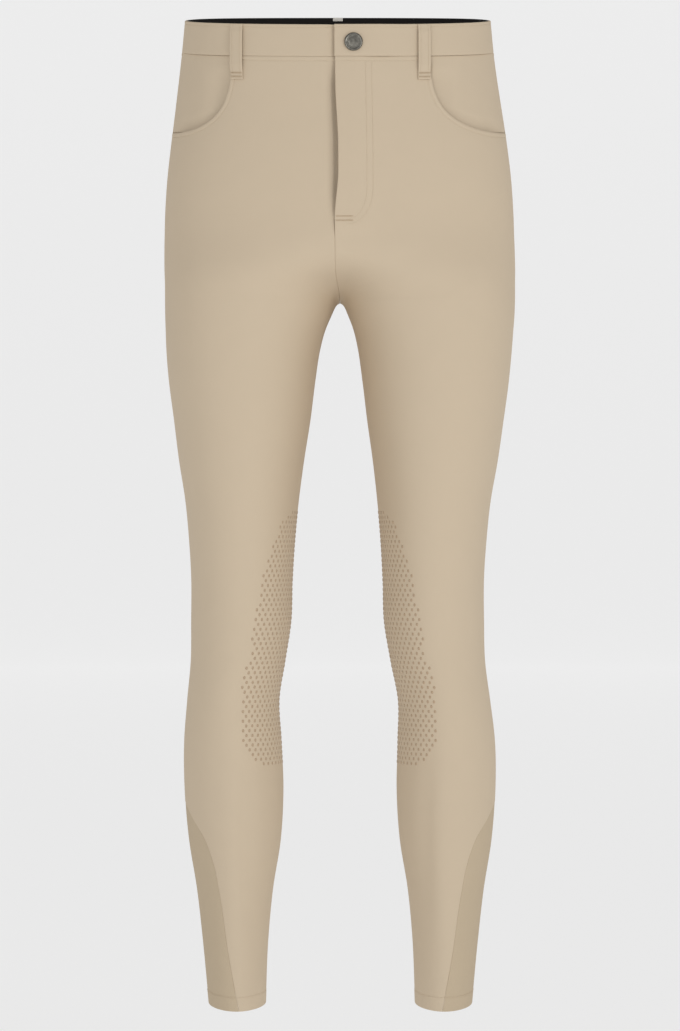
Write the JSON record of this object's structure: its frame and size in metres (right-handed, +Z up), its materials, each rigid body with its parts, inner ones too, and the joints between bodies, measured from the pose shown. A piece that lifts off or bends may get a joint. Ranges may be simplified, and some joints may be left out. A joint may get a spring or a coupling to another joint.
{
  "type": "riding breeches",
  "caption": "Full-length riding breeches in stretch cloth, filled out and hollow, with curved pockets, a fly with a stud, belt loops, knee grips and calf inserts.",
  "frame": {"origin": "middle of the waist opening, half way up the waistband at the sides", "axes": "+Z up along the body, -Y the front, +X the wearer's left"},
  "size_m": [0.3507, 0.2356, 1.0037],
  "materials": {
    "cloth": "fine stretch twill, matt, beige",
    "insert": "matt stretch jersey, darker beige",
    "lining": "black elastic tape",
    "silicone": "printed silicone dots",
    "pewter": "dark pewter finish",
    "tape": "pale woven tape"
  },
  "bodies": {
    "root": {"front_left": "cloth", "back_left": "cloth", "pocket_bearer_left": "cloth", "calf_insert_left": "insert", "waistband_left": "cloth", "waist_lining_left": "lining", "knee_grip_left": "silicone", "belt_loop_front_left": "cloth", "belt_loop_back_left": "cloth", "front_right": "cloth", "back_right": "cloth", "pocket_bearer_right": "cloth", "calf_insert_right": "insert", "waistband_right": "cloth", "waist_lining_right": "lining", "knee_grip_right": "silicone", "belt_loop_front_right": "cloth", "belt_loop_back_right": "cloth", "belt_loop_back_centre": "cloth", "fly_zip": "pewter", "fly_shield": "cloth", "waist_button": "pewter", "back_tab": "tape"}
  },
  "joints": []
}
